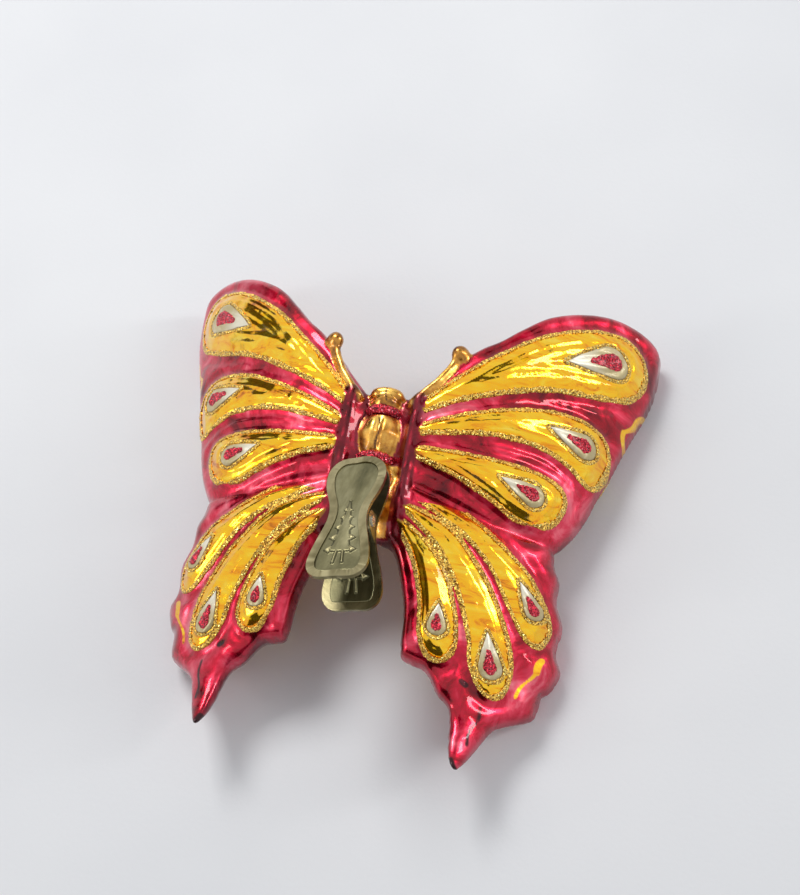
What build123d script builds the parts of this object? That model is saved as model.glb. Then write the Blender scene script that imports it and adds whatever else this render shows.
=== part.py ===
from build123d import *
from math import acos, cos, degrees, pi, radians, sin, sqrt, tan
import os

# Blown glass butterfly ornament on a sprung clip, lying belly up on its wing edges.
# Millimetres, +Z up, +Y toward the head, +X across the wings. The thorax stands ahead of the
# origin, which is the middle of the footprint on the floor.

# Overall form of the glass
half_span = 64.8
tail_reach = 77.3
thorax_ahead = 15.56
thorax_height = 29.82
dome_drop = 32.3
tilt_rise = 12.4
tail_lift = 8.9
tail_lift_start_share = 0.67
wing_thickness = 14.0
glass_wall = 1.2

# Pearl laid on the wings
pearl_height = 0.45
glue_film = 0.08

# Body, rails and feelers
body_radius = 6.2
body_length = 40.3
rail_offset = 8.6
rail_radius = 1.7
rail_height = 3.4
band_radius = 1.2
collar_out_share = 0.58
waist_out_share = 0.64
feeler_radius = 1.1
knob_radius = 2.4
rail_length = 37.0
rail_rear_share = -0.69
rail_round_share = 0.9
band_lift = 0.6
feeler_shares = ((0.115, 0.095), (0.190, 0.165), (0.250, 0.272))
feeler_rise = (3.4, 3.0, 2.2)

# Clip
leaf_length = 38.0
leaf_width = 14.2
waist_width = 9.2
leaf_sheet = 0.6
rim_step = 0.35
rim_width = 1.9
jaw_gap = 0.3
leaf_spread = 19.5
pivot_setback = 18.0
ear_length = 7.0
ear_sheet = 0.6
ear_clearance = 0.15
pin_radius = 0.8
pin_clearance = 0.05
pin_head_radius = 1.3
pin_head_height = 0.4
ear_round = 2.6
clip_side = -1.05
clip_behind = 12.7
clip_above = 9.2
clip_yaw = 7.4
clip_pitch = 12.3
clip_roll = 7.0

# Neck, cap and rivet
neck_setback = 8.0
neck_radius = 3.4
neck_bore = 2.2
cap_wall = 0.4
cap_clearance = 0.05
cap_height = 3.2
rivet_radius = 0.9
rivet_head_radius = 1.8
rivet_head_height = 0.7
rivet_tail_radius = 1.5
rivet_tail_height = 0.5
rivet_clearance = 0.05
rivet_round_share = 0.7

# Torsion spring
spring_wire = 0.35
spring_coil_radius = 1.75
spring_pitch = 1.05
spring_turns = 4
spring_leg = 9.0
leg_angle = 15.0
quarter_turns = 18

fullness_share = 0.72


def mid_height(x_share, y_share):
    """Height of the glass's middle surface: a dome across, falling toward the tails."""
    lift = max(0, (-y_share - tail_lift_start_share) / (1 - tail_lift_start_share))
    dome = dome_drop * x_share**2
    return thorax_height + tilt_rise * y_share - dome + tail_lift * lift**2


def ahead(y_share):
    """Place along the body of a share of the tail reach, from the thorax."""
    return thorax_ahead + tail_reach * y_share


def pillow_curves(half_width, half_height):
    """Control points of the four curves of a soft flattened oval, round from one rim."""
    full_width = half_width * fullness_share
    full_height = half_height * fullness_share
    quarter = [(half_width, 0), (half_width, full_height), (full_width, half_height),
               (0, half_height)]
    return [
        quarter,
        [(-across, up) for across, up in reversed(quarter)],
        [(-across, -up) for across, up in quarter],
        [(across, -up) for across, up in reversed(quarter)],
    ]


# Forewing sections across X: place, rear edge, front edge, thickness
fore_section_shares = [
    (0.000, -0.150, 0.100, 0.62),
    (0.100, -0.165, 0.125, 0.72),
    (0.200, -0.187, 0.215, 0.85),
    (0.320, -0.214, 0.315, 0.96),
    (0.440, -0.236, 0.412, 1.00),
    (0.560, -0.249, 0.500, 1.00),
    (0.650, -0.256, 0.545, 1.00),
    (0.720, -0.215, 0.572, 0.98),
    (0.790, -0.130, 0.590, 0.95),
    (0.850, -0.005, 0.597, 0.90),
    (0.905, 0.150, 0.595, 0.82),
    (0.950, 0.270, 0.585, 0.70),
    (0.980, 0.350, 0.567, 0.55),
    (0.995, 0.415, 0.540, 0.35),
    (1.000, 0.455, 0.515, 0.15),
]

# Hindwing sections along Y: place, inner edge, outer edge, thickness
hind_section_shares = [
    (-0.155, 0.030, 0.560, 0.50),
    (-0.205, 0.030, 0.620, 0.68),
    (-0.258, 0.035, 0.672, 0.86),
    (-0.320, 0.070, 0.715, 0.96),
    (-0.400, 0.125, 0.755, 1.00),
    (-0.480, 0.160, 0.772, 1.00),
    (-0.560, 0.178, 0.778, 1.00),
    (-0.640, 0.196, 0.770, 0.98),
    (-0.700, 0.228, 0.742, 0.93),
    (-0.745, 0.300, 0.700, 0.86),
    (-0.790, 0.385, 0.645, 0.74),
    (-0.840, 0.422, 0.590, 0.62),
    (-0.900, 0.438, 0.555, 0.54),
    (-0.955, 0.450, 0.525, 0.42),
    (-0.988, 0.465, 0.508, 0.28),
    (-1.000, 0.476, 0.496, 0.12),
]

# Teardrop eyes: tip, centre of the round end, and its radius
eye_share_rows = {
    "forewing": [
        ((0.650, 0.336), (0.818, 0.405), 4.0),
        ((0.622, 0.106), (0.756, 0.093), 3.2),
        ((0.475, -0.101), (0.602, -0.127), 2.9),
    ],
    "hindwing": [
        ((0.600, -0.396), (0.668, -0.472), 2.4),
        ((0.522, -0.577), (0.549, -0.679), 2.9),
        ((0.340, -0.530), (0.344, -0.602), 2.4),
    ],
}


def fore_section(row, grow):
    """Plane and curves of one forewing section, square to the span."""
    x_share, rear, front, thick = row
    half_width = (ahead(front) - ahead(rear)) / 2 + grow
    centre = (ahead(front) + ahead(rear)) / 2
    curves = []
    for controls in pillow_curves(half_width, thick * wing_thickness / 2 + grow):
        places = [(centre + along, up) for along, up in controls]
        curves.append([
            (y, mid_height(x_share, (y - thorax_ahead) / tail_reach) + up) for y, up in places
        ])
    return Plane.YZ.offset(half_span * x_share), curves


def hind_section(row, grow):
    """Plane and curves of one hindwing section, square to the body line."""
    y_share, inner, outer, thick = row
    half_width = half_span * (outer - inner) / 2 + grow
    centre = half_span * (outer + inner) / 2
    curves = []
    for controls in pillow_curves(half_width, thick * wing_thickness / 2 + grow):
        places = [(centre + across, up) for across, up in controls]
        curves.append([(x, mid_height(x / half_span, y_share) + up) for x, up in places])
    return Plane.XZ.offset(-ahead(y_share)), curves


def wing(section, rows, grow):
    """A wing swelled by grow all round, lofted through its sections."""
    with BuildPart() as blank:
        for row in rows:
            plane, curves = section(row, grow)
            with BuildSketch(plane):
                with BuildLine():
                    for controls in curves:
                        Bezier(*controls)
                make_face()
        loft()
    return blank.part


# Upright prisms reach from well above the wings to below their lowest edge
prism_top = thorax_height + wing_thickness
prism_height = prism_top + dome_drop


def plan_point(across, along):
    """A point on plan from shares of the half span and the tail reach."""
    return Vector(half_span * across, ahead(along))


def drawn_in(points, distance):
    """Points of a clockwise outline moved square to it, toward its inside."""
    vectors = [Vector(*point) for point in points]
    ahead_of_each = vectors[1:] + vectors[:1]
    moved = []
    for index, point in enumerate(vectors):
        along = ahead_of_each[index] - vectors[index - 1]
        inward = along.normalized().rotate(Axis.Z, -90)
        moved.append(point + inward * distance)
    return moved


def teardrop_face(tip, centre, radius):
    """A drop on plan: a round end, drawn out to a tip that points at the wing root."""
    tip_point = plan_point(*tip)
    round_centre = plan_point(*centre)
    toward_tip = tip_point - round_centre
    side_angle = degrees(acos(radius / toward_tip.length))
    sides = [
        round_centre + (toward_tip.normalized() * radius).rotate(Axis.Z, turn * side_angle)
        for turn in (1, -1)
    ]
    with BuildSketch() as drop:
        with Locations(round_centre):
            Circle(radius)
        with BuildLine():
            Polyline(tip_point, *sides, close=True)
        make_face()
    return drop.sketch


def eye_faces(eyes):
    """The drops of one wing on plan."""
    with BuildSketch() as faces:
        for tip, centre, radius in eyes:
            add(teardrop_face(tip, centre, radius))
    return faces.sketch


def upright(faces):
    """Prisms on faces drawn on plan, through the whole thickness of the wings."""
    with BuildPart() as prism:
        with BuildSketch(Plane.XY.offset(prism_top)):
            add(faces)
        extrude(amount=-prism_height)
    return prism.part


# Each wing's sections, and the run of them in which it is hollow
wings = {
    "forewing": (fore_section, fore_section_shares, slice(0, -3)),
    "hindwing": (hind_section, hind_section_shares, slice(1, -4)),
}

# The body turns round a line that falls toward the tail like the wings do
body_line = Vector(0, tail_reach, tilt_rise).normalized()
body_plane = Plane(
    origin=(0, thorax_ahead, mid_height(0, 0)),
    x_dir=(1, 0, 0),
    z_dir=Vector(1, 0, 0).cross(body_line),
)

# Head, thorax and abdomen: place along the body length, and share of its radius
body_profile_shares = [
    (0.270, 0.00), (0.245, 0.56), (0.185, 0.80), (0.125, 0.68), (0.088, 0.58), (0.040, 0.82),
    (-0.060, 1.00), (-0.155, 0.82), (-0.208, 0.64), (-0.280, 0.76), (-0.400, 0.82),
    (-0.540, 0.74), (-0.660, 0.50), (-0.730, 0.00),
]
collar_share = 0.088
waist_share = -0.208


def body_solid(inset=0):
    """The body turned about its line, drawn in by an inset."""
    with BuildPart() as body:
        with BuildSketch(body_plane):
            with BuildLine():
                profile = [
                    (max(0, body_radius * out - inset), body_length * along)
                    for along, out in body_profile_shares
                ]
                nose, tail = profile[0], profile[-1]
                nose_point = (0, nose[1] - inset)
                tail_point = (0, tail[1] + inset)
                Spline(nose_point, *profile[1:-1], tail_point)
                Line(tail_point, nose_point)
            make_face()
        revolve(axis=Axis(body_plane.origin, body_plane.y_dir))
    return body.part


def body_place(across, along, above):
    """A point on the body plane's own axes."""
    return body_plane.from_local_coords(Vector(across, along, above))


# Clip frame: origin where the jaws meet, x across the leaves, y toward the jaws' tips
clip_plane = Plane(
    origin=(clip_side, thorax_ahead - clip_behind, thorax_height + clip_above)
).rotated((clip_yaw, -clip_pitch, -clip_roll), ordering=Intrinsic.ZXY)
half_spread = leaf_spread / 2
pivot_height = jaw_gap / 2 + pivot_setback * tan(radians(half_spread))


def leaf_plane(side):
    """Inner face of a leaf, its z pointing out of the clip: side 1 is upper, -1 lower."""
    turn = radians(half_spread)
    out = clip_plane.z_dir * (side * cos(turn)) + clip_plane.y_dir * sin(turn)
    start = clip_plane.origin + clip_plane.z_dir * (side * jaw_gap / 2)
    return Plane(origin=start, x_dir=clip_plane.x_dir * side, z_dir=out)


# Right edge of a leaf from the jaw's tip to the handle's end
leaf_edge_shares = [
    (0.00, 0.000), (0.30, -0.020), (0.46, -0.090), (0.50, -0.190), (0.44, -0.310),
    (0.335, -0.440), (0.33, -0.550), (0.42, -0.700), (0.49, -0.830), (0.47, -0.940),
    (0.34, -0.993), (0.00, -1.000),
]


def leaf_face(inset=0):
    """Keyhole outline of a leaf, with its jaw's tip at the origin, drawn in by an inset."""
    right = [(leaf_width * across, leaf_length * along) for across, along in leaf_edge_shares]
    left = [(-across, along) for across, along in reversed(right[1:-1])]
    with BuildSketch() as face:
        with BuildLine():
            Spline(*drawn_in(right + left, inset), periodic=True)
        make_face()
    return face.sketch


def ear_plane(across):
    """Plane square to the pivot, at a distance across the clip."""
    centre = clip_plane.from_local_coords(Vector(across, -pivot_setback, 0))
    return Plane(origin=centre, x_dir=clip_plane.y_dir, z_dir=clip_plane.x_dir)


def leaf_solid(side, ear_outer):
    """A stamped leaf with a raised rim and two ears bored for the pivot."""
    slope = tan(radians(half_spread))
    root = [
        (along, side * (pivot_height - along * slope + leaf_sheet / 2))
        for along in (ear_length / 2, -ear_length / 2)
    ]
    with BuildPart() as leaf:
        with BuildSketch(leaf_plane(side)):
            add(leaf_face())
        extrude(amount=leaf_sheet)
        with BuildSketch(leaf_plane(side).offset(rim_step)):
            add(leaf_face())
            add(leaf_face(rim_width), mode=Mode.SUBTRACT)
        extrude(amount=leaf_sheet)
        for start in (ear_outer - ear_sheet, -ear_outer):
            with BuildSketch(ear_plane(start)):
                Circle(ear_round)
                with BuildLine():
                    Polyline(*root, (-ear_round, 0), (ear_round, 0), close=True)
                make_face()
            extrude(amount=ear_sheet)
        with BuildSketch(ear_plane(-leaf_width)):
            Circle(pin_radius + pin_clearance)
        extrude(amount=2 * leaf_width, mode=Mode.SUBTRACT)
    return leaf


# Neck frame: on the lower leaf's inner face, its z pointing down at the belly
neck_plane = leaf_plane(-1)
neck_plane = Plane(
    origin=neck_plane.from_local_coords(Vector(0, -neck_setback, 0)),
    x_dir=neck_plane.x_dir,
    z_dir=neck_plane.z_dir,
)
cap_top = leaf_sheet
neck_top = cap_top + cap_wall + rivet_clearance
neck_length = clip_above

os.makedirs("parts", exist_ok=True)

# The glass: wings, body, rails and feelers blown in one piece, and hollow
with BuildPart() as rail:
    with BuildSketch(Plane(origin=body_place(rail_offset, rail_rear_share * body_length,
                                             rail_height),
                           z_dir=body_plane.y_dir)):
        Circle(rail_radius)
    extrude(amount=rail_length)
    fillet(rail.edges(), rail_radius * rail_round_share)

with BuildPart() as feeler:
    root, bend, tip = [
        (half_span * across, ahead(along), mid_height(across, along) + above)
        for (across, along), above in zip(feeler_shares, feeler_rise)
    ]
    with BuildLine() as feeler_line:
        ThreePointArc(root, bend, tip)
    with BuildSketch(Plane(origin=feeler_line.line @ 0, z_dir=feeler_line.line % 0)):
        Circle(feeler_radius)
    sweep()
    with Locations(root):
        Sphere(feeler_radius)
    with Locations(tip):
        Sphere(knob_radius)

with BuildPart() as half:
    for section, rows, hollow_rows in wings.values():
        add(wing(section, rows, 0))
    add(rail.part)
    add(feeler.part)

with BuildPart() as hollow:
    for section, rows, hollow_rows in wings.values():
        add(wing(section, rows[hollow_rows], -glass_wall))
    mirror(about=Plane.YZ)
    add(body_solid(glass_wall))
    with BuildSketch(neck_plane.offset(neck_top)):
        Circle(neck_bore)
    extrude(amount=neck_length)

with BuildPart() as glass_butterfly:
    add(half.part)
    mirror(about=Plane.YZ)
    add(body_solid())
    with BuildSketch(neck_plane.offset(neck_top)):
        Circle(neck_radius)
    extrude(amount=neck_length)
    add(hollow.part, mode=Mode.SUBTRACT)
glass_butterfly.part.label = "glass_butterfly"
export_step(glass_butterfly.part, "parts/glass_butterfly.step")

# Glitter bands laid in the grooves before and behind the thorax
with BuildPart() as forewings:
    add(wing(fore_section, fore_section_shares, 0))
    mirror(about=Plane.YZ)

for band_name, along_share, out_share in (
    ("head_collar_glitter", collar_share, collar_out_share),
    ("waist_collar_glitter", waist_share, waist_out_share),
):
    with BuildPart() as band:
        with BuildSketch(body_plane):
            with Locations((body_radius * out_share + band_lift, body_length * along_share)):
                Circle(band_radius)
        revolve(axis=Axis(body_plane.origin, body_plane.y_dir))
        add(forewings.part, mode=Mode.SUBTRACT)
        add(body_solid(), mode=Mode.SUBTRACT)
    band.part.label = band_name
    export_step(band.part, f"parts/{band_name}.step")


# Pearl drops, on both faces of every wing
for wing_name, (section, rows, hollow_rows) in wings.items():
    with BuildPart() as right_drops:
        add(upright(eye_faces(eye_share_rows[wing_name])))
        add(wing(section, rows, glue_film + pearl_height), mode=Mode.INTERSECT)
        add(wing(section, rows, glue_film), mode=Mode.SUBTRACT)
    for side, turned in (("right", right_drops.part), ("left", right_drops.part.mirror(Plane.YZ))):
        name = f"pearl_drops_{wing_name}_{side}"
        with BuildPart() as drops:
            add(turned)
        drops.part.label = name
        export_step(drops.part, f"parts/{name}.step")

# Clip: two stamped leaves with their jaws together at the head end
ear_outer = waist_width / 2
inner_ear_outer = ear_outer - ear_sheet - ear_clearance

upper_leaf = leaf_solid(1, inner_ear_outer)
upper_leaf.part.label = "clip_upper_leaf"
export_step(upper_leaf.part, "parts/clip_upper_leaf.step")

lower_leaf_blank = leaf_solid(-1, ear_outer)
with BuildPart() as lower_leaf:
    add(lower_leaf_blank.part)
    with BuildSketch(neck_plane):
        Circle(rivet_radius + rivet_clearance)
    extrude(amount=leaf_sheet + rim_step, mode=Mode.SUBTRACT)
lower_leaf.part.label = "clip_lower_leaf"
export_step(lower_leaf.part, "parts/clip_lower_leaf.step")

with BuildPart() as pivot_pin:
    with BuildSketch(ear_plane(-ear_outer - pin_head_height)):
        Circle(pin_radius)
    extrude(amount=2 * (ear_outer + pin_head_height))
    for start in (ear_outer, -ear_outer - pin_head_height):
        with BuildSketch(ear_plane(start)):
            Circle(pin_head_radius)
        extrude(amount=pin_head_height)
pivot_pin.part.label = "clip_pivot_pin"
export_step(pivot_pin.part, "parts/clip_pivot_pin.step")

# Cap on the glass neck, with the rivet that holds the lower leaf to it
with BuildPart() as neck_cap:
    with BuildSketch(neck_plane.offset(cap_top)):
        Circle(neck_radius + cap_clearance + cap_wall)
    extrude(amount=cap_height)
    with BuildSketch(neck_plane.offset(cap_top + cap_wall)):
        Circle(neck_radius + cap_clearance)
    extrude(amount=cap_height, mode=Mode.SUBTRACT)
    with BuildSketch(neck_plane.offset(cap_top)):
        Circle(rivet_radius + rivet_clearance)
    extrude(amount=cap_wall, mode=Mode.SUBTRACT)
neck_cap.part.label = "neck_cap"
export_step(neck_cap.part, "parts/neck_cap.step")

with BuildPart() as cap_rivet:
    with BuildSketch(neck_plane.offset(-rivet_head_height)):
        Circle(rivet_head_radius)
    extrude(amount=rivet_head_height)
    fillet(cap_rivet.edges().sort_by(Axis.Z)[-1], rivet_head_height * rivet_round_share)
    with BuildSketch(neck_plane.offset(-rivet_head_height)):
        Circle(rivet_radius)
    extrude(amount=rivet_head_height + cap_top + cap_wall)
    with BuildSketch(neck_plane.offset(cap_top + cap_wall)):
        Circle(rivet_tail_radius)
    extrude(amount=rivet_tail_height)
cap_rivet.part.label = "cap_rivet"
export_step(cap_rivet.part, "parts/cap_rivet.step")

# Torsion spring round the pin: the wire comes up the lower handle, winds round and leaves
# along the upper one
def coil_place(turn):
    """Point on the coil's middle line at an angle round the pin, from the middle of the coil."""
    across = spring_pitch * turn / 360
    along = spring_coil_radius * cos(radians(turn))
    up = spring_coil_radius * sin(radians(turn))
    return clip_plane.from_local_coords(Vector(across, along - pivot_setback, up))


def coil_heading(turn):
    """Unit direction of the wire at an angle round the pin."""
    rise = spring_pitch / (2 * pi)
    along = -spring_coil_radius * sin(radians(turn))
    up = spring_coil_radius * cos(radians(turn))
    heading = Vector(rise, along, up).normalized()
    return (clip_plane.x_dir * heading.X + clip_plane.y_dir * heading.Y
            + clip_plane.z_dir * heading.Z)


def meeting_point(start, start_heading, end, end_heading):
    """Point where two arcs meet in line, on their way between two places and headings."""
    chord = end - start
    sum_of_headings = start_heading + end_heading
    square = 4 - sum_of_headings.dot(sum_of_headings)
    middle = chord.dot(sum_of_headings)
    reach = (-middle + sqrt(middle**2 + square * chord.dot(chord))) / square
    return (start + start_heading * reach + end - end_heading * reach) / 2


coil_half_turn = 180 * spring_turns + 90 - leg_angle
with BuildPart() as torsion_spring:
    with BuildLine() as wire_line:
        start, heading = coil_place(-coil_half_turn), coil_heading(-coil_half_turn)
        Line(start - heading * spring_leg, start)
        for step in range(quarter_turns):
            turn = -coil_half_turn + 2 * coil_half_turn * (step + 1) / quarter_turns
            end, end_heading = coil_place(turn), coil_heading(turn)
            meeting = meeting_point(start, heading, end, end_heading)
            first = TangentArc(start, meeting, tangent=heading)
            TangentArc(meeting, end, tangent=first % 1)
            start, heading = end, end_heading
        Line(start, start + heading * spring_leg)
    with BuildSketch(Plane(origin=wire_line.line @ 0, z_dir=wire_line.line % 0)):
        Circle(spring_wire)
    sweep()
torsion_spring.part.label = "torsion_spring"
export_step(torsion_spring.part, "parts/torsion_spring.step")
print("least gap between coils", spring_pitch - 2 * spring_wire)
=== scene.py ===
import math
from itertools import product

import bpy
import numpy as np
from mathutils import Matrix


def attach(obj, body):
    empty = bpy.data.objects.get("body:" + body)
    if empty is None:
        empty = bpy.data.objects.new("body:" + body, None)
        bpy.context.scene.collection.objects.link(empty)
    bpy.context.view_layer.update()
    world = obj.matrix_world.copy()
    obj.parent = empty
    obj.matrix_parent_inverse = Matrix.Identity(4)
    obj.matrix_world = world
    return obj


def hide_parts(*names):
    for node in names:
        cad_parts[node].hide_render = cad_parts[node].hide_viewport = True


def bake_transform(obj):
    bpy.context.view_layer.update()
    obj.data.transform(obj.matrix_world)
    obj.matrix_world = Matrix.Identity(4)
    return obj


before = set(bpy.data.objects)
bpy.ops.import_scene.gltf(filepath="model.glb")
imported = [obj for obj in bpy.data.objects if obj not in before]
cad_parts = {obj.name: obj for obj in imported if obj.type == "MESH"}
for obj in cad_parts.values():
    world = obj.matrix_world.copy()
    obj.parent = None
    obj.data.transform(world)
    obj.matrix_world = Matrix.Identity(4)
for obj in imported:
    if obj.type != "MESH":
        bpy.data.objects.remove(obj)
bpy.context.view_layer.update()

import openvdb as vdb
from mathutils import Matrix, Vector

# Lengths are in mm from the thorax, unless a comment says otherwise. x runs across the wings, y toward the
# head, and w up from the wings' middle surface. Fields are below zero inside, plan distances above zero.
MM = 0.001
AHEAD = 15.56
RAISE = 28.32
SPAN = 64.8
REACH = 77.3
FAR = 1e9
TINY = 1e-9
rng = np.random.default_rng(7)

# Outlines of the right wings, as x and y
FORE = [(0, 6), (6, 9), (19, 23), (25, 28), (30, 33), (36, 38.5), (44, 43), (51, 45.5), (57, 46),
        (62, 45), (64.4, 42.5), (64.6, 37.5), (64, 31), (62.5, 25), (59, 15), (56, 5.5), (53.5, -1.5),
        (51.5, -8), (48.5, -14.5), (44, -19.5), (35, -19.6), (24.7, -18), (14.6, -15.6), (6.8, -13.4),
        (0, -11)]
HIND = [(0, -10.5), (6.8, -11.5), (14.6, -13.6), (24.7, -16), (35, -17.8), (44.2, -18.6),
        (45.9, -22.7), (47.5, -25.8), (47.5, -30.8), (49.8, -36.2), (49.0, -42.6), (50.8, -46.8),
        (49.1, -51.8), (47.3, -53.7), (46.6, -58.6), (45.0, -60.6), (38.3, -64.7), (35.7, -69.5),
        (33.6, -74.3), (31.5, -77.3), (29.4, -73.6), (27.5, -63.6), (24.1, -60.3), (20.4, -55.6),
        (15.5, -54.4), (14.1, -52.3), (13.1, -42.5), (10.2, -33.4), (7.8, -29.4), (4.5, -28.2),
        (0, -27)]
# Shares of the full half thickness, by the share of SPAN or of REACH
FORE_THICK = [(0, .62), (.1, .72), (.2, .85), (.32, .96), (.44, 1), (.65, 1), (.72, .98), (.79, .95),
              (.85, .9), (.905, .86), (.95, .8), (1, .7)]
HIND_THICK = [(-1, .16), (-.955, .38), (-.9, .54), (-.84, .62), (-.79, .74), (-.745, .86), (-.7, .93),
              (-.64, .98), (-.56, 1), (-.4, 1), (-.32, .96), (-.258, .86), (-.205, .7), (-.14, .55)]
# Width of the rounded edge, by the same shares
FORE_EDGE = [(0, 9.45), (.2, 12.15), (.5, 13.5), (.8, 13.5), (.95, 9.45), (1, 6.075)]
HIND_EDGE = [(-1, 2.42), (-.9, 4.62), (-.8, 7.92), (-.7, 10.45), (-.6, 11.0), (-.3, 9.9), (-.14, 6.6)]
# Gold cells, as shares of SPAN and REACH
CELLS_FORE = [
    [(.108, .036), (.205, .135), (.415, .300), (.560, .400), (.730, .484), (.850, .511), (.928, .483),
     (.946, .410), (.895, .325), (.770, .274), (.600, .232), (.415, .163), (.245, .096)],
    [(.112, -.018), (.256, .044), (.432, .106), (.600, .156), (.735, .172), (.820, .155),
     (.852, .100), (.836, .035), (.796, -.014), (.710, .016), (.610, .038), (.440, .031), (.262, .000)],
    [(.110, -.076), (.320, -.060), (.540, -.050), (.640, -.054), (.700, -.073), (.715, -.112),
     (.686, -.178), (.615, -.210), (.540, -.203), (.462, -.174), (.315, -.127)],
]
CELLS_HIND = [
    [(.135, -.190), (.292, -.212), (.390, -.238), (.552, -.322), (.636, -.376), (.704, -.450),
     (.728, -.511), (.702, -.564), (.648, -.556), (.574, -.473), (.500, -.383), (.405, -.314),
     (.300, -.268)],
    [(.146, -.256), (.330, -.300), (.480, -.420), (.551, -.511), (.596, -.591), (.616, -.662),
     (.608, -.725), (.572, -.757), (.522, -.740), (.478, -.679), (.457, -.600), (.392, -.470),
     (.300, -.362)],
    [(.136, -.302), (.262, -.362), (.340, -.440), (.384, -.521), (.409, -.592), (.410, -.653),
     (.372, -.692), (.318, -.680), (.284, -.621), (.272, -.550), (.239, -.453), (.205, -.395)],
]
# Drops: tip, centre of the round end, radius
DROPS_FORE = [((42, 26), (53, 31.3), 4.0), ((40.3, 8.2), (49, 7.2), 3.2), ((30.8, -7.8), (39, -9.8), 2.9)]
DROPS_HIND = [((39, -30.6), (43.3, -36.5), 2.4), ((33.8, -44.6), (35.6, -52.5), 2.9),
              ((22, -41), (22.3, -46.5), 2.4)]

# The wings' middle surface: rise at the thorax, slope along the body, arch across, and the tails' lift
MIDDLE_RISE = 1.5
MIDDLE_SLOPE = 0.16
MIDDLE_ARCH = 0.0077
TAIL_LIFT = 8
TAIL_FROM = 52
TAIL_RUN = 24


def middle(x, y):
    """Height of the wings' middle surface over the thorax's own level."""
    tail = np.maximum(0, (-y - TAIL_FROM) / TAIL_RUN)
    return MIDDLE_RISE + MIDDLE_SLOPE * y - MIDDLE_ARCH * x * x + TAIL_LIFT * tail ** 2


def loop(points, runs, spans=(1.0, 1.0)):
    """A closed smooth curve through points, as many short runs."""
    p = np.array(points, float) * np.array(spans)
    before, start, end, after = (np.roll(p, k, 0)[:, None, :] for k in (1, 0, -1, -2))
    t = (np.arange(runs) / runs)[None, :, None]
    square = (2 * before - 5 * start + 4 * end - after) * t ** 2
    cube = (3 * start - before - 3 * end + after) * t ** 3
    return (0.5 * (2 * start + (end - before) * t + square + cube)).reshape(-1, 2)


def interpolate(at, table):
    """Values of a table of pairs, straight between its rows."""
    return np.interp(at, [row[0] for row in table], [row[1] for row in table])


def signed(poly, x, y):
    """Distance to a closed polygon, above zero inside."""
    best = np.full(x.shape, FAR, np.float32)
    inside = np.zeros(x.shape, bool)
    for (ax, ay), (bx, by) in zip(poly, np.roll(poly, -1, 0)):
        dx, dy = bx - ax, by - ay
        t = np.clip(((x - ax) * dx + (y - ay) * dy) / (dx * dx + dy * dy + TINY), 0, 1)
        np.minimum(best, (x - ax - t * dx) ** 2 + (y - ay - t * dy) ** 2, out=best)
        cross = (ay > y) != (by > y)
        if abs(dy) > TINY:
            inside ^= cross & (x < ax + (y - ay) * dx / dy)
    best = np.sqrt(best)
    return np.where(inside, best, -best)


def along_segment(x, y, start, end):
    """Share of the way along a segment, 0 to 1, and the distance from it."""
    a = np.array(start, float)
    d = np.array(end, float) - a
    t = np.clip(((x - a[0]) * d[0] + (y - a[1]) * d[1]) / (d @ d), 0, 1)
    return t, np.hypot(x - a[0] - t * d[0], y - a[1] - t * d[1])


DROP_BEND = 1.25
DROP_SIDE = 0.93


def drop_distance(tip, centre, radius, x, y):
    """Distance to a teardrop with a pointed tip, above zero inside."""
    tx, ty = tip
    cx, cy = centre
    length = math.hypot(tx - cx, ty - cy)
    ux, uy = (tx - cx) / length, (ty - cy) / length
    s = (x - cx) * ux + (y - cy) * uy
    v = np.abs(-(x - cx) * uy + (y - cy) * ux)
    half = radius * (1 - np.clip(s / length, 0, 1) ** DROP_BEND)
    side = (half - v) * DROP_SIDE
    round_end = radius - np.hypot(s, v)
    past = -np.hypot(np.maximum(s - length, 0), v)
    return np.where(s < 0, round_end, np.where(s > length, past, side))


# A heart's reach toward the tip and back, and its half width and taper, as shares of its drop
HEART_REACH = 0.42
HEART_BACK = 0.05
HEART_WIDTH = 0.55
HEART_TAPER = 0.36


def heart_distance(tip, centre, radius, x, y):
    """Distance to a drop's small red middle, above zero inside."""
    start = np.array(centre, float)
    end = start + (np.array(tip, float) - start) * HEART_REACH
    start = start + (start - end) * HEART_BACK
    t, away = along_segment(x, y, start, end)
    return radius * (HEART_WIDTH - HEART_TAPER * t) - away


OUTLINE_RUNS = 6
CELL_RUNS = 7
fore_loop = loop(FORE, OUTLINE_RUNS)
hind_loop = loop(HIND, OUTLINE_RUNS)
cells_fore = [loop(c, CELL_RUNS, (SPAN, REACH)) for c in CELLS_FORE]
cells_hind = [loop(c, CELL_RUNS, (SPAN, REACH)) for c in CELLS_HIND]


def marks(x, y):
    """Plan distances of cells, drops and hearts, the same on both sides."""
    x = np.abs(x)
    plan = {}
    for wing, cells, drops in (("fore", cells_fore, DROPS_FORE), ("hind", cells_hind, DROPS_HIND)):
        plan["cell_" + wing] = np.max([signed(c, x, y) for c in cells], 0)
        plan["drop_" + wing] = np.max([drop_distance(*d, x, y) for d in drops], 0)
        plan["heart_" + wing] = np.max([heart_distance(*d, x, y) for d in drops], 0)
    return plan


def smooth(t):
    """A soft step from 0 to 1 as t runs from 0 to 1."""
    t = np.clip(t, 0, 1)
    return t * t * (3 - 2 * t)


def union(a, b, k):
    """Two fields joined by a fillet about k wide."""
    h = np.clip(0.5 + 0.5 * (b - a) / k, 0, 1)
    return b + (a - b) * h - k * h * (1 - h)


PILLOW_POWER = 2.65


def pillow(d, width):
    """Share of the full height at distance d inside an edge."""
    u = np.clip(d / width, 0, 1)
    return (1 - (1 - u) ** PILLOW_POWER) ** (1 / PILLOW_POWER)


SLOW_WAVE = 0.10
QUICK_WAVE = 0.05


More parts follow.
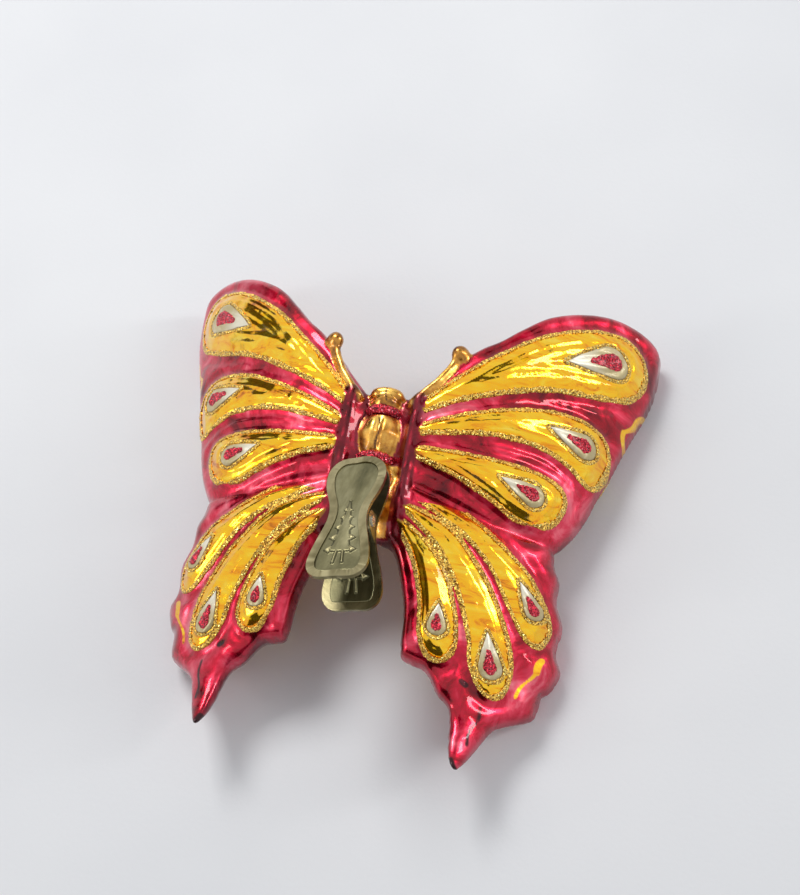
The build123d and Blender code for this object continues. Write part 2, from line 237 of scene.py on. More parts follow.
def ripple(x, y):
    """Waves of hand blown glass."""
    slow = np.sin(x * 0.55 + 1.3 * np.sin(y * 0.23)) * np.sin(y * 0.47 + 0.9 * np.sin(x * 0.31))
    quick = np.sin(x * 1.15 + y * 0.7) * np.sin(y * 1.05 - x * 0.4)
    return SLOW_WAVE * slow + QUICK_WAVE * quick


PUFF_HEIGHT = 1.25
PUFF_RUN = 1.7
GROOVE_DEPTH = 0.85
GROOVE_PLACE = 2.1
GROOVE_WIDTH = 1.5
FLUTE_HEIGHT = 0.16
FLUTE_WAVE = 3.1
PLAIN_EDGE = 0.6
EDGE_RUN = 3.0


def relief(cell, edge, x, y):
    """Puffed cell, with a groove along the outside of its line."""
    puff = PUFF_HEIGHT * (1 - np.exp(-np.maximum(cell, 0) / PUFF_RUN))
    groove = -GROOVE_DEPTH * np.exp(-((cell + GROOVE_PLACE) / GROOVE_WIDTH) ** 2)
    flute = FLUTE_HEIGHT * np.sin(cell * FLUTE_WAVE) * smooth(cell / GROOVE_WIDTH)
    shaped = (puff + groove + flute) * smooth((edge - PLAIN_EDGE) / EDGE_RUN)
    return shaped + ripple(x, y) * smooth(edge / EDGE_RUN)


HALF_THICK = 7.0
ROOT_SHARE = 0.42
ROOT_FROM, ROOT_RUN = 2.0, 7.0
RELIEF_FROM, RELIEF_RUN = 8, 4
RIM_SLOPE = 0.05
OUTSIDE_SLOPE = 1.6
STEEPEST = 9


def half_thickness(x, y, edge, cell, thick, width):
    """Half the thickness of a wing over the plan, below zero outside its outline."""
    ax = np.abs(x)
    root = ROOT_SHARE + (1 - ROOT_SHARE) * smooth((ax - ROOT_FROM) / ROOT_RUN)
    h = HALF_THICK * thick * pillow(edge, width) * root
    h = h + relief(cell, edge, x, y) * smooth((ax - RELIEF_FROM) / RELIEF_RUN)
    return np.where(edge > 0, np.maximum(h, RIM_SLOPE * np.minimum(edge, 1)), edge * OUTSIDE_SLOPE)


def slope_factor(h, step):
    """What turns a height over the surface into a distance from it."""
    gx, gy = np.gradient(h, step)
    return 1 / np.sqrt(1 + np.minimum(gx ** 2 + gy ** 2, STEEPEST))


# The forewing's outline is open toward the body: |x| and y of that stretch
OPEN_X = 9
OPEN_LOW, OPEN_HIGH = -11, 7
OPEN_SPARE = 0.5


def wing_heights(x, y, plan, step):
    """Half thickness and slope factor of forewings and hindwings, on a plan grid."""
    ax = np.abs(x)
    fore_edge = signed(fore_loop, ax, y)
    # The outline's own run along x = 0 is no edge
    from_ends = np.minimum(OPEN_HIGH - y, y - OPEN_LOW + OPEN_SPARE)
    is_open = (ax < OPEN_X) & (y < OPEN_HIGH) & (y > OPEN_LOW)
    fore_edge = np.where(is_open, np.maximum(fore_edge, from_ends), fore_edge)
    fore = half_thickness(x, y, fore_edge, plan["cell_fore"],
                          interpolate(ax / SPAN, FORE_THICK), interpolate(ax / SPAN, FORE_EDGE))
    hind = half_thickness(x, y, signed(hind_loop, ax, y), plan["cell_hind"],
                          interpolate(y / REACH, HIND_THICK), interpolate(y / REACH, HIND_EDGE))
    return [(h, slope_factor(h, step)) for h in (fore, hind)]


# Radius of the body along y, from the abdomen's end to the head
BODY = [(-29.6, 0), (-29.0, 1.4), (-27, 3.2), (-23, 4.7), (-18.5, 5.5), (-14, 5.7), (-11, 5.2), (-8.4, 4.1),
        (-6.4, 5.2), (-2.5, 6.2), (0.8, 5.3), (2.4, 4.3), (3.55, 3.5), (4.8, 4.2), (7.2, 5.0), (9.3, 4.1),
        (10.5, 2.2), (10.9, 0)]
BODY_SAMPLES = 400
BODY_SOFTENING = 17
BODY_SLOPE = 0.85
RING_HEIGHT, RING_PITCH = 0.14, 3.4
SEAM_DEPTH, SEAM_WIDTH = 1.0, 0.75
PARTING_DEPTH, PARTING_WIDTH = 0.8, 0.7
EYE_HEIGHT, EYE_SPREAD = 0.6, 2.2
EYE_PLACE = (3.0, 8.6, 2.6)


def body_radius(y):
    """Softened radius of the body, below zero past its ends."""
    low, high = BODY[0][0], BODY[-1][0]
    stations = np.linspace(low, high, BODY_SAMPLES)
    weights = np.hanning(BODY_SOFTENING)
    padded = np.pad(interpolate(stations, BODY), BODY_SOFTENING // 2, mode="edge")
    radii = np.convolve(padded, weights / weights.sum(), "valid")
    inner = np.interp(y, stations, radii)
    return np.where(y < low, y - low, np.where(y > high, high - y, inner))


def body_field(x, y, w):
    """Head, thorax and ringed abdomen, with a seam on the belly and a parting on the head."""
    ax = np.abs(x)
    ring = RING_HEIGHT * np.cos((y + 10) * 2 * math.pi / RING_PITCH)
    ring = ring * smooth((-10.5 - y) / 2) * smooth((y + 28) / 4)
    seam = -SEAM_DEPTH * np.exp(-(x / SEAM_WIDTH) ** 2) * smooth((w - 1) / 2)
    seam = seam * smooth((y + 9) / 2) * smooth((2.5 - y) / 2)
    parting = -PARTING_DEPTH * np.exp(-((y - 8.0 + 0.35 * ax) / PARTING_WIDTH) ** 2)
    parting = parting * smooth((w - 0.5) / 2) * smooth(y - 5)
    from_eye = (ax - EYE_PLACE[0]) ** 2 + (y - EYE_PLACE[1]) ** 2 + (w - EYE_PLACE[2]) ** 2
    eye = EYE_HEIGHT * np.exp(-from_eye / EYE_SPREAD)
    return (np.hypot(x, w) - body_radius(y) - ring - seam - parting - eye) * BODY_SLOPE


RAIL_X, RAIL_SPLAY, RAIL_W, RAIL_RADIUS = 8.6, 0.01, 4.0, 1.65
RAIL_HIGH, RAIL_LOW = 7.3, -26.3


def rail_field(x, y, w):
    """The two round rails between wings and body."""
    past = np.maximum(np.maximum(y - RAIL_HIGH, RAIL_LOW - y), 0)
    bead = 0.05 * np.sin(y * 1.1) + 0.03 * np.sin(y * 2.3 + 1)
    across = np.abs(x) - RAIL_X - RAIL_SPLAY * (y + 9)
    return np.sqrt(across ** 2 + (w - RAIL_W) ** 2 + past ** 2) - RAIL_RADIUS - bead


FEELER_PATH = [(7.0, 6.6, 3.6), (9.6, 9.2, 4.3), (12.4, 12.6, 4.2), (14.6, 16.6, 3.6), (16.4, 21.0, 3.0)]
FEELER_RADIUS = 1.15
KNOB_PLACE = (16.4, 21.2, 3.0)
KNOB_RADIUS = 2.35
KNOB_JOIN = 0.8


def feeler_field(x, y, w):
    """The two feelers, each ending in a knob."""
    ax = np.abs(x)
    best = np.full(np.broadcast(ax, y, w).shape, FAR, np.float32)
    path = np.array(FEELER_PATH)
    for a, b in zip(path[:-1], path[1:]):
        d = b - a
        t = np.clip(((ax - a[0]) * d[0] + (y - a[1]) * d[1] + (w - a[2]) * d[2]) / (d @ d), 0, 1)
        offsets = (ax - a[0] - t * d[0], y - a[1] - t * d[1], w - a[2] - t * d[2])
        np.minimum(best, np.sqrt(sum(v ** 2 for v in offsets)) - FEELER_RADIUS, out=best)
    kx, ky, kw = KNOB_PLACE
    knob = np.sqrt((ax - kx) ** 2 + (y - ky) ** 2 + (w - kw) ** 2) - KNOB_RADIUS
    return union(best, knob, KNOB_JOIN)


# The clip's axes and its point between the jaws' tips, in the shared frame
CX = np.array([0.980936, 0.153581, 0.119072])
CY = np.array([-0.125839, 0.968908, -0.21303])
CZ = np.array([-0.148087, 0.193985, 0.969763])
CO = np.array([-1.05, 2.86, 39.02])
HALF_TURN = math.radians(9.75)
JAW_HALF_GAP = 0.15
NECK_SETBACK = 8.0
NECK_RADIUS = 3.35
NECK_START, NECK_END = 1.1, 9


def leaf_axes(side):
    """Origin at the jaw's tip on the inner face, x across, y toward the jaw, z out of the clip."""
    z = CZ * (side * math.cos(HALF_TURN)) + CY * math.sin(HALF_TURN)
    x = CX * side
    return CO + CZ * (side * JAW_HALF_GAP), x, np.cross(z, x), z


def neck_field(x, y, w):
    """The glass neck that runs from the body up into the cap."""
    origin, _, toward_jaw, outward = leaf_axes(-1)
    foot = origin - toward_jaw * NECK_SETBACK
    p = (x - foot[0], y + AHEAD - foot[1], w + middle(x, y) + RAISE - foot[2])
    along = p[0] * outward[0] + p[1] * outward[1] + p[2] * outward[2]
    radius = np.sqrt(np.maximum(p[0] ** 2 + p[1] ** 2 + p[2] ** 2 - along ** 2, 0))
    return np.maximum(np.maximum(radius - NECK_RADIUS, NECK_START - along), along - NECK_END)


def grid_axes(low, high, step):
    return [np.arange(a, b + step, step, dtype=np.float32) for a, b in zip(low, high)]


def open_axes(axes):
    """The three axes of a grid, shaped so that they spread over it."""
    return axes[0][:, None, None], axes[1][None, :, None], axes[2][None, None, :]


WING_JOIN = 1.0


def wing_field(xs, ys, ws, step):
    """The field of all four wings on a grid, and the plan distances below it."""
    x, y = np.meshgrid(xs, ys, indexing="ij")
    plan = marks(x, y)
    (fore, fore_slope), (hind, hind_slope) = wing_heights(x, y, plan, step)
    w = np.abs(ws)[None, None, :]
    from_fore = (w - fore[:, :, None]) * fore_slope[:, :, None]
    from_hind = (w - hind[:, :, None]) * hind_slope[:, :, None]
    return union(from_fore, from_hind, WING_JOIN).astype(np.float32), plan


# Cells of the grid on each side of a surface, least slope, and a point's longest move, in cells
BAND = 3.0
LEAST_SLOPE = 1e-3
LONGEST_MOVE = 0.5
# Nothing goes below this height over the floor
FLOOR_GAP = 0.01


def shell(field, step):
    """Points, in grid steps, and quads of the field's zero surface."""
    grid = vdb.FloatGrid(BAND)
    grid.copyFromArray(np.ascontiguousarray(np.clip(field / step, -BAND, BAND)))
    points, quads = grid.convertToQuads(0)
    return np.array(points, float), np.array(quads, np.int64)


def sample(field, p):
    """The field at places between grid points, and its slope."""
    i = np.clip(np.floor(p).astype(int), 0, np.array(field.shape) - 2)
    f = np.clip(p - i, 0, 1)
    value = np.zeros(len(p))
    slope = np.zeros((len(p), 3))
    for a, b, c in product((0, 1), repeat=3):
        q = field[i[:, 0] + a, i[:, 1] + b, i[:, 2] + c]
        wa, wb, wc = (f[:, k] if corner else 1 - f[:, k] for k, corner in enumerate((a, b, c)))
        value += q * wa * wb * wc
        slope[:, 0] += q * (2 * a - 1) * wb * wc
        slope[:, 1] += q * wa * (2 * b - 1) * wc
        slope[:, 2] += q * wa * wb * (2 * c - 1)
    return value, slope


def pulled(p, field):
    """The points moved onto the field's zero surface by one step."""
    value, slope = sample(field, p)
    move = -(value / np.maximum((slope * slope).sum(1), LEAST_SLOPE))[:, None] * slope
    size = np.linalg.norm(move, axis=1, keepdims=True)
    return p + move * np.minimum(1, LONGEST_MOVE / np.maximum(size, 1e-6))


def relaxed(p, quads):
    """The points moved half way to the middle of their neighbours."""
    total = np.zeros_like(p)
    count = np.zeros(len(p))
    for a, b in ((0, 1), (1, 2), (2, 3), (3, 0)):
        np.add.at(total, quads[:, a], p[quads[:, b]])
        np.add.at(count, quads[:, a], 1)
        np.add.at(total, quads[:, b], p[quads[:, a]])
        np.add.at(count, quads[:, b], 1)
    return p * 0.5 + total / np.maximum(count, 1)[:, None] * 0.5


def link_smooth(name, mesh):
    """An object for the mesh, with smooth faces, linked into the scene."""
    mesh.polygons.foreach_set("use_smooth", np.ones(len(mesh.polygons), bool))
    mesh.update()
    obj = bpy.data.objects.new(name, mesh)
    bpy.context.scene.collection.objects.link(obj)
    return obj


def quad_mesh(name, points, quads):
    """A mesh of quads, built in one go."""
    mesh = bpy.data.meshes.new(name)
    mesh.vertices.add(len(points))
    mesh.vertices.foreach_set("co", points.astype(np.float32).ravel())
    mesh.loops.add(len(quads) * 4)
    mesh.loops.foreach_set("vertex_index", quads.astype(np.int32).ravel())
    mesh.polygons.add(len(quads))
    mesh.polygons.foreach_set("loop_start", np.arange(0, len(quads) * 4, 4, dtype=np.int32))
    mesh.update(calc_edges=True)
    mesh.validate()
    return mesh


def put_attribute(mesh, key, values):
    layer = mesh.attributes.new(key, "FLOAT", "POINT")
    layer.data.foreach_set("value", np.asarray(values, np.float32))


def mesh_object(name, field, axes, step, pulls=0, relaxes=0, attributes=None):
    """The zero surface of a field, placed in the shared frame in metres."""
    p, quads = shell(field, step)
    for _ in range(pulls):
        p = pulled(p, field)
    for _ in range(relaxes):
        p = relaxed(p, quads)
    x, y, w = (p * step + np.array([axis[0] for axis in axes])).T
    # The lowest edges rest flat on the floor
    height = np.maximum(w + middle(x, y) + RAISE, FLOOR_GAP)
    real = np.stack([x, y + AHEAD, height], 1) * MM
    # Faces look outward: the sum of signed volumes is above zero
    a, b, c = real[quads[:, 0]], real[quads[:, 1]], real[quads[:, 2]]
    if (np.cross(b, c) * a).sum() < 0:
        quads = quads[:, ::-1]
    mesh = quad_mesh(name, real, quads)
    for key, values in (attributes(x, y, w) if attributes else {}).items():
        put_attribute(mesh, key, values)
    return link_smooth(name, mesh)


class Nodes:
    """Short helper for building a material's node tree."""

    def __init__(self, name):
        self.material = bpy.data.materials.new(name)
        self.material.use_nodes = True
        self.tree = self.material.node_tree
        self.tree.nodes.clear()
        out = self.new("OutputMaterial")
        self.bsdf = self.new("BsdfPrincipled")
        self.link(self.bsdf.outputs[0], out.inputs[0])

    def new(self, kind, **values):
        node = self.tree.nodes.new("ShaderNode" + kind)
        self.fill(node, values)
        return node

    def link(self, source, target):
        self.tree.links.new(source, target)

    def put(self, socket, value):
        """Link a socket, or set a plain value."""
        if isinstance(value, bpy.types.NodeSocket):
            self.link(value, socket)
            return
        if isinstance(value, tuple) and len(value) == 3 and len(socket.default_value) == 4:
            value = value + (1.0,)
        socket.default_value = value

    def fill(self, node, values):
        """Set or link a node's inputs by name."""
        for key, value in values.items():
            self.put(node.inputs[key.replace("_", " ")], value)

    def set(self, **values):
        self.fill(self.bsdf, values)

    def attribute(self, name):
        n = self.new("Attribute")
        n.attribute_name = name
        return n.outputs["Fac"]

    def coordinates(self):
        return self.new("TexCoord").outputs["Object"]

    def mapped(self, scale, turn=0.0):
        """Object coordinates, turned about z and scaled."""
        return self.new("Mapping", Rotation=(0, 0, turn), Scale=scale, Vector=self.coordinates()).outputs[0]

    def math(self, operation, a, b):
        n = self.new("Math")
        n.operation = operation
        self.put(n.inputs[0], a)
        self.put(n.inputs[1], b)
        return n.outputs[0]

    def times(self, a, b):
        return self.math("MULTIPLY", a, b)

    def plus(self, a, b):
        return self.math("ADD", a, b)

    def step(self, value, low, high, to=(0.0, 1.0)):
        """A soft step as the value runs from low to high."""
        n = self.new("MapRange", Value=value, From_Min=low, From_Max=high, To_Min=to[0], To_Max=to[1])
        n.interpolation_type = "SMOOTHSTEP"
        return n.outputs["Result"]

    def noise(self, scale, detail=3.0, rough=0.5, distortion=0.0, vector=None):
        n = self.new("TexNoise", Scale=scale, Detail=detail, Roughness=rough, Distortion=distortion,
                     Vector=vector or self.coordinates())
        return n.outputs["Fac"]

    def grains(self, scale):
        """Small cells of random colour, as red, green and blue."""
        cells = self.new("TexVoronoi", Scale=scale, Vector=self.coordinates())
        return self.new("SeparateColor", Color=cells.outputs["Color"]).outputs

    def mix(self, share, a, b, kind="RGBA"):
        """Colours mixed, or numbers where the kind is FLOAT."""
        first = {"RGBA": 6, "FLOAT": 2}[kind]
        n = self.new("Mix")
        n.data_type = kind
        self.put(n.inputs[0], share)
        self.put(n.inputs[first], a)
        self.put(n.inputs[first + 1], b)
        return n.outputs[{"RGBA": 2, "FLOAT": 0}[kind]]

    def ramp(self, share, stops):
        n = self.new("ValToRGB")
        while len(n.color_ramp.elements) < len(stops):
            n.color_ramp.elements.new(0.5)
        for element, (place, colour) in zip(n.color_ramp.elements, stops):
            element.position = place
            element.color = colour + (1.0,)
        self.link(share, n.inputs[0])
        return n.outputs[0]

    def bump(self, height, distance, strength=1.0, normal=None):
        n = self.new("Bump", Strength=strength, Distance=distance, Height=height)
        if normal is not None:
            self.link(normal, n.inputs["Normal"])
        return n.outputs[0]

    def vector_math(self, operation, *sockets):
        n = self.new("VectorMath")
        n.operation = operation
        for k, socket in enumerate(sockets):
            self.link(socket, n.inputs[k])
        return n.outputs[0]


RED_STOPS = [
    (0.36, (0.10, 0.000, 0.004)), (0.44, (0.34, 0.001, 0.012)), (0.50, (0.56, 0.004, 0.030)),
    (0.56, (0.70, 0.035, 0.080)), (0.66, (0.84, 0.200, 0.250))]
GOLD_STOPS = [
    (0.26, (0.38, 0.090, 0.002)), (0.35, (0.88, 0.290, 0.003)), (0.44, (1.00, 0.480, 0.004)),
    (0.58, (1.00, 0.590, 0.012)), (0.74, (1.00, 0.740, 0.080))]
BODY_GOLD_STOPS = [(0.3, (0.14, 0.040, 0.004)), (0.48, (0.55, 0.24, 0.030)), (0.66, (0.90, 0.52, 0.10))]
# Dark wine for the painted shade on the wings' rounded rim
SHADED_WINE = (0.24, 0.012, 0.035)
RAIL_RED = (0.085, 0.002, 0.006)
SEAM_DARK = (0.03, 0.002, 0.004)
# Half width of a painted edge
PAINT_EDGE = 0.15


def red_paint(m, mottle, patch):
    return m.ramp(m.plus(m.times(mottle, 0.6), m.times(patch, 0.4)), RED_STOPS)


def gold_paint(m):
    """Gold with long streaks across the wings."""
    vector = m.mapped((0.35, 1.6, 1.0), 0.35)
    return m.ramp(m.noise(150, 4, 0.6, 1.6, vector), GOLD_STOPS)


def glass_material():
    """Mirrored glass, painted red and gold by the mesh's attributes, with painted shade toward the wings'
    outline.
    """
    m = Nodes("mirrored_glass")
    mottle = m.noise(115, 5, 0.62, 0.9)
    patch = m.noise(42, 3, 0.5, 0.6)
    fine = m.noise(520, 3, 0.6)
    gold = gold_paint(m)
    wavering = m.plus(m.attribute("cell"), m.times(m.math("SUBTRACT", fine, 0.5), 0.5))
    in_cell = m.step(wavering, -PAINT_EDGE, PAINT_EDGE)
    colour = m.mix(in_cell, red_paint(m, mottle, patch), gold)
    # Darker wine toward the wings' outline: painted shade on the rounded rim
    rim_shade = m.step(m.plus(m.attribute("edge"), m.times(patch, 1.4)), 2.2, 0.6)
    colour = m.mix(m.times(rim_shade, 0.45), colour, SHADED_WINE)
    colour = m.mix(m.step(m.attribute("accent"), -PAINT_EDGE, PAINT_EDGE), colour, gold)
    body_gold = m.ramp(m.noise(240, 4, 0.6), BODY_GOLD_STOPS)
    colour = m.mix(m.attribute("body"), colour, body_gold)
    colour = m.mix(m.times(m.attribute("rail"), 0.85), colour, RAIL_RED)
    colour = m.mix(m.step(m.attribute("dark"), 0.0, 0.5), colour, SEAM_DARK)
    red_rough = m.step(mottle, 0.3, 0.7, to=(0.18, 0.42))
    m.set(Base_Color=colour, Metallic=0.94, Roughness=m.mix(in_cell, red_rough, 0.11, "FLOAT"),
          Coat_Weight=0.6, Coat_Roughness=0.04, IOR=1.5)
    waves = m.bump(m.noise(70, 2, 0.45, 0.5), 0.0016, 0.55)
    m.set(Normal=m.bump(fine, 0.00008, 0.5, waves))
    return m.material


GRAIN_SCALE = 3600
GRAIN_TILT = 1.5


def glitter_material(name, bright, deep, dark_share):
    """Small flakes, each of its own colour and tilt, with a painted glint on a few."""
    m = Nodes(name)
    r, g, b = m.grains(GRAIN_SCALE)
    # Whitened colour for a few flakes: painted glints
    painted_glint = tuple(min(1, c * 1.35 + 0.22) for c in bright)
    colour = m.mix(m.step(r, dark_share, dark_share + 0.12), deep, bright)
    colour = m.mix(m.step(g, 0.90, 0.97), colour, painted_glint)
    tilt = m.new("CombineXYZ")
    for k, socket in enumerate((r, g, b)):
        m.link(m.times(m.math("SUBTRACT", socket, 0.5), GRAIN_TILT), tilt.inputs[k])
    normal = m.new("NewGeometry").outputs["Normal"]
    facet = m.vector_math("NORMALIZE", m.vector_math("ADD", normal, tilt.outputs[0]))
    m.set(Base_Color=colour, Metallic=0.72, Roughness=m.step(b, 0, 1, to=(0.22, 0.5)), Normal=facet,
          Coat_Weight=0.25, Coat_Roughness=0.15)
    return m.material


PEARL_TAN = (0.52, 0.42, 0.20)
PEARL_PALE = (0.84, 0.78, 0.62)
PEARL_CLOUD = (0.84, 0.76, 0.56)
PEARL_RIM = (0.16, 0.09, 0.03)


def pearl_material():
    """Pale lacquer, clouded, with a thin dark rim."""
    m = Nodes("pearl_lacquer")
    cloud = m.noise(330, 4, 0.6, 0.4)
    base = m.mix(m.step(m.attribute("toward_tip"), 0.1, 0.75), PEARL_TAN, PEARL_PALE)
    base = m.mix(m.times(m.step(cloud, 0.48, 0.75), 0.5), base, PEARL_CLOUD)
    rim = m.step(m.plus(m.attribute("inset"), m.times(cloud, 0.25)), 0.42, 0.10)
    base = m.mix(m.times(rim, 0.8), base, PEARL_RIM)
    m.set(Base_Color=base, Metallic=0.25, Roughness=0.36, Coat_Weight=0.35, Coat_Roughness=0.12,
          Normal=m.bump(m.noise(1500, 3, 0.6), 0.00012, 0.6))
    return m.material


# Bright brass for the painted highlight on top of the relief
RELIEF_HIGHLIGHT_BRASS = (0.62, 0.54, 0.28)
BRASS_GRIME = 0.45
BRUSHED = (1.0, 0.08, 1.0)


def relief_highlight_and_shade(m, colour, tone, low):
    """Painted shade at the foot of an embossed line and a painted highlight on its top."""
    raised = m.attribute("raised")
    top_highlight = m.step(m.plus(raised, m.times(tone, 0.25)), 0.75, 1.15)
    # Darkened foot of the relief: painted shade
    foot = m.times(m.step(raised, 0.02, 0.15), m.step(raised, 0.62, 0.30))
    colour = m.mix(m.times(foot, 0.6), colour, tuple(c * 0.3 for c in low))
    return m.mix(m.times(top_highlight, 0.85), colour, RELIEF_HIGHLIGHT_BRASS)


def metal_material(name, low, mid, high, rough, scale, grime=0.5, brushed=False, raised=False):
    """Worn metal with grime in patches, and edges made brighter, partly wear and partly painted highlight.
    """
    m = Nodes(name)
    tone = m.noise(scale, 5, 0.6, 0.2, m.mapped(BRUSHED) if brushed else None)
    spots = m.noise(95, 4, 0.65, 0.6)
    colour = m.ramp(tone, [(0.3, low), (0.5, mid), (0.72, high)])
    dirty = tuple(c * 0.35 for c in low)
    colour = m.mix(m.times(m.step(spots, 0.55, 0.75), grime), colour, dirty)
    if raised:
        # Painted shade at the relief's foot and painted highlight on its top
        colour = relief_highlight_and_shade(m, colour, tone, low)
    # Brighter on sharp edges: partly wear, partly a painted highlight
    edge_wear_and_highlight = m.step(m.new("NewGeometry").outputs["Pointiness"], 0.52, 0.62)
    colour = m.mix(m.times(edge_wear_and_highlight, 0.7), colour, tuple(min(1, c * 1.4) for c in high))
    m.set(Base_Color=colour, Metallic=0.92, Roughness=m.step(tone, 0.25, 0.75, to=rough),
          Normal=m.bump(m.noise(1600, 3, 0.6), 0.00005, 0.5))
    return m.material


def give(node_name, material):
    """Lay a material on a CAD node."""
    obj = bpy.data.objects[node_name]
    if not obj.data.materials:
        obj.data.materials.append(material)
    for slot in obj.material_slots:
        slot.material = material


# Painted strokes on the wings: start, end, half width
ACCENTS = [((62.6, 24.5), (58.0, 17.0), 0.42), ((58.0, 17.0), (58.3, 12.5), 0.55),
           ((46.9, -46.6), (45.6, -49.6), 0.75), ((45.6, -49.6), (41.6, -56.8), 0.38)]
TAIL_DARKS = [((35.0, -61.5), (32.9, -71.0), 0.62), ((30.7, -75.5), (31.4, -77.5), 1.1),
              ((29.4, -57.0), (30.2, -57.4), 1.0)]
BELLY_DARKS = [((0.1, -6.4), (0.0, 1.4), 0.50), ((0.2, 5.8), (0.2, 9.4), 0.42)]
HEAD_COLLAR_Y = 3.55
WAIST_COLLAR_Y = -8.4
NO_ACCENT = -5


def stroke(x, y, start, end, half):
    """Distance to a wavering painted stroke, above zero inside."""
    _, away = along_segment(x + 0.35 * np.sin(y * 0.9), y, start, end)
    return half - away


def on_forewing(ax, y):
    """True ahead of the line between forewing and hindwing."""
    return y > -18.5 + 0.05 * ax


def gold_parts(ax, y, w, body, rail):
    """True on the gilded body and feelers, but not in the collars."""
    off_collars = (np.abs(y - 3.5) > 1.4) & (np.abs(y - WAIST_COLLAR_Y) > 1.0)
    gold = (body < 0.35) & off_collars & (y > -29)
    gold |= (feeler_field(ax, y, w) < 0.45) & (w > -1)
    gold |= (y < -9.6) & (y > -27.5) & (ax < 6.3) & (w > 0.8) & (rail > 0.3)
    return gold


def glass_attributes(x, y, w):
    """What the glass material reads at each point."""
    plan = marks(x, y)
    ax = np.abs(x)
    body = body_field(x, y, w)
    rail = rail_field(x, y, w)
    gold = gold_parts(ax, y, w, body, rail)
    in_cell = np.where(on_forewing(ax, y), plan["cell_fore"], plan["cell_hind"])
    plain_red = (rail < 0.35) | ((body < 0.5) & ~gold)
    accent = np.max([stroke(ax, y, *row) for row in ACCENTS], 0)
    darks = [stroke(ax, y, *row) for row in TAIL_DARKS]
    darks += [np.where(w > 0, stroke(x, y, *row), -1) for row in BELLY_DARKS]
    beside_body = smooth((11.0 - ax) / 1.2) * (y > -29) * (y < 9) * ~gold
    return {
        "cell": np.where(plain_red, -2.0, in_cell),
        "edge": np.maximum(signed(fore_loop, ax, y), signed(hind_loop, ax, y)),
        "body": gold.astype(float),
        "rail": np.maximum(smooth((0.6 - rail) / 0.5), beside_body * 0.9),
        "accent": np.where(w > -0.5, accent, NO_ACCENT),
        "dark": np.max(darks, 0),
    }


GLASS_STEP = 0.53
GLASS_LOW = (-66.6, -79.6, -9.6)
GLASS_HIGH = (66.6, 48.6, 11.4)


def glass_field(axes):
    """Wings, body, rails, feelers and neck as one field."""
    field, _ = wing_field(*axes, GLASS_STEP)
    places = open_axes(axes)
    for part, join in ((body_field, 0.9), (rail_field, 0.9), (feeler_field, 0.7), (neck_field, 0.8)):
        field = union(field, part(*places).astype(np.float32), join)
    return field.astype(np.float32)


def butterfly_glass():
    axes = grid_axes(GLASS_LOW, GLASS_HIGH, GLASS_STEP)
    glass = mesh_object("butterfly_glass", glass_field(axes), axes, GLASS_STEP, 2, 1, glass_attributes)
    glass.data.materials.append(glass_material())
    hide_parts("glass_butterfly")
    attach(glass, "ornament")


# The grid of the thin coatings
FINE_STEP = 0.36
FINE_LOW = (-64.8, -60.5, -9.2)
FINE_HIGH = (64.8, 42.5, 9.2)
BARE_ROOT = 10.4


def grain_noise(shape):
    """Seeded noise from 0 to 1 in small lumps."""
    grain = rng.random(shape, dtype=np.float32)
    return (grain + np.roll(grain, 1, 0) + np.roll(grain, 1, 1) + np.roll(grain, 1, 2)) / 4


def coat(wings, top, under):
    """A layer on the wings, from under to top over their surface."""
    return np.maximum(wings - top, -(wings + under))


def glitter_plan(axes, plan, drops):
    """Plan field of the lines round cells and drops."""
    x, y = np.meshgrid(axes[0], axes[1], indexing="ij")
    ax = np.abs(x)
    cells = np.where(on_forewing(ax, y), plan["cell_fore"], plan["cell_hind"])
    half = 0.58 + 0.08 * np.sin(x * 0.8 + y * 0.5)
    lines = np.minimum(np.abs(cells + 0.15) - half, np.abs(drops + 0.40) - 0.42)
    return np.maximum(lines, BARE_ROOT - ax)


def glitter_lines(axes, wings, lines, grain):
    top = 0.30 + 0.34 * (grain - 0.3)
    field = np.maximum(coat(wings, top, 0.5), lines[:, :, None] - 0.35 * (grain - 0.5))
    glitter = mesh_object("glitter_lines", field.astype(np.float32), axes, FINE_STEP)
    gold = glitter_material("gold_glitter", (0.95, 0.60, 0.10), (0.42, 0.20, 0.020), 0.30)
    glitter.data.materials.append(gold)
    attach(glitter, "ornament")


def drop_attributes(x, y, w):
    """Distance inside a drop's rim, and the share of the way to its tip."""
    plan = marks(x, y)
    ax = np.abs(x)
    toward = np.zeros(len(x))
    nearest = np.full(len(x), FAR)
    for tip, centre, _ in DROPS_FORE + DROPS_HIND:
        d = np.array(tip) - np.array(centre)
        share = ((ax - centre[0]) * d[0] + (y - centre[1]) * d[1]) / (d @ d)
        _, away = along_segment(ax, y, centre, tip)
        near = away < nearest
        nearest = np.where(near, away, nearest)
        toward = np.where(near, share, toward)
    return {"inset": np.maximum(plan["drop_fore"], plan["drop_hind"]), "toward_tip": toward}


def pearl_drops(axes, wings, drops):
    top = 0.30 + 0.30 * (1 - np.exp(-np.maximum(drops, 0) / 0.9))
    field = np.maximum(coat(wings, top[:, :, None], 0.5), -drops[:, :, None])
    pearl = mesh_object("pearl_drops", field.astype(np.float32), axes, FINE_STEP, 0, 1, drop_attributes)
    pearl.data.materials.append(pearl_material())
    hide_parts("pearl_drops_forewing_right", "pearl_drops_forewing_left",
                "pearl_drops_hindwing_right", "pearl_drops_hindwing_left")
    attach(pearl, "ornament")


def red_hearts(axes, wings, hearts_plan, grain, red_glitter):
    top = 0.72 + 0.5 * (grain - 0.4)
    field = np.maximum(coat(wings, top, 0.2), -hearts_plan[:, :, None] - 0.5 * (grain - 0.5))
    hearts = mesh_object("red_hearts", field.astype(np.float32), axes, FINE_STEP)
    hearts.data.materials.append(red_glitter)
    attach(hearts, "ornament")


